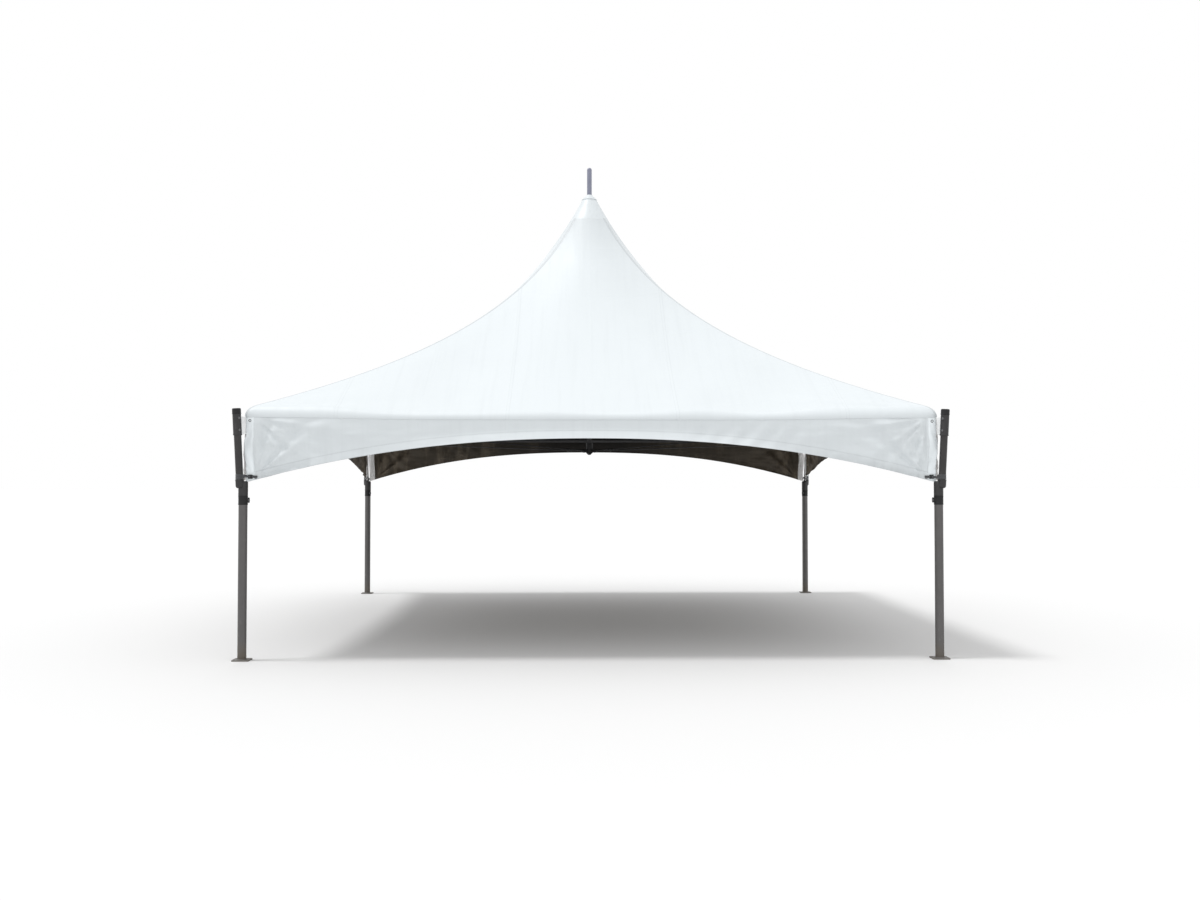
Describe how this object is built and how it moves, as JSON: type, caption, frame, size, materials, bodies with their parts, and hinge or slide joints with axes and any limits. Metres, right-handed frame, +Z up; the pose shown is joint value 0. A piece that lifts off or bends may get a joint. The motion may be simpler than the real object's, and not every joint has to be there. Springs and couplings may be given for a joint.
{
  "type": "high-peak frame tent",
  "caption": "Open-sided square marquee with a concave pointed canopy, arched valances, leaning corner posts and a centre mast standing on crossed cables.",
  "frame": {"origin": "on the ground, under the middle of the tent", "axes": "+Z up; -Y is the front, the side that faces the camera in the picture; +X is to the right seen from the front"},
  "size_m": [6.271, 6.271, 5.139],
  "materials": {
    "canopy": "white coated woven cloth, dark on its inner face",
    "post": "dull weathered grey",
    "fitting": "near-black paint",
    "frame_tube": "mill finish",
    "foot_plate": "dull galvanised",
    "cable": "galvanised wire rope",
    "webbing": "woven strap",
    "finial": "pale grey paint"
  },
  "bodies": {
    "root": {"foot_plate_front_left": "foot_plate", "foot_plate_front_right": "foot_plate", "foot_plate_back_left": "foot_plate", "foot_plate_back_right": "foot_plate", "leg_lower_front_left": "post", "leg_lower_front_right": "post", "leg_lower_back_left": "post", "leg_lower_back_right": "post", "leg_collar_front_left": "fitting", "leg_collar_front_right": "fitting", "leg_collar_back_left": "fitting", "leg_collar_back_right": "fitting", "leg_upper_front_left": "post", "leg_upper_front_right": "post", "leg_upper_back_left": "post", "leg_upper_back_right": "post", "corner_fitting_front_left": "fitting", "corner_fitting_front_right": "fitting", "corner_fitting_back_left": "fitting", "corner_fitting_back_right": "fitting", "valance_tie_front_left": "webbing", "valance_tie_front_right": "webbing", "valance_tie_back_left": "webbing", "valance_tie_back_right": "webbing", "cross_cable_front_left": "cable", "cross_cable_front_right": "cable", "cross_cable_back_left": "cable", "cross_cable_back_right": "cable", "eave_tube_front": "frame_tube", "eave_tube_right": "frame_tube", "eave_tube_back": "frame_tube", "eave_tube_left": "frame_tube", "roof_front": "canopy", "roof_right": "canopy", "roof_back": "canopy", "roof_left": "canopy", "valance_front_middle": "canopy", "valance_front_right": "canopy", "valance_front_left": "canopy", "valance_right_middle": "canopy", "valance_right_back": "canopy", "valance_right_front": "canopy", "valance_back_middle": "canopy", "valance_back_left": "canopy", "valance_back_right": "canopy", "valance_left_middle": "canopy", "valance_left_front": "canopy", "valance_left_back": "canopy", "mast": "frame_tube", "mast_base": "fitting", "peak_crown": "frame_tube", "peak_cap": "finial", "finial": "finial"}
  },
  "joints": []
}
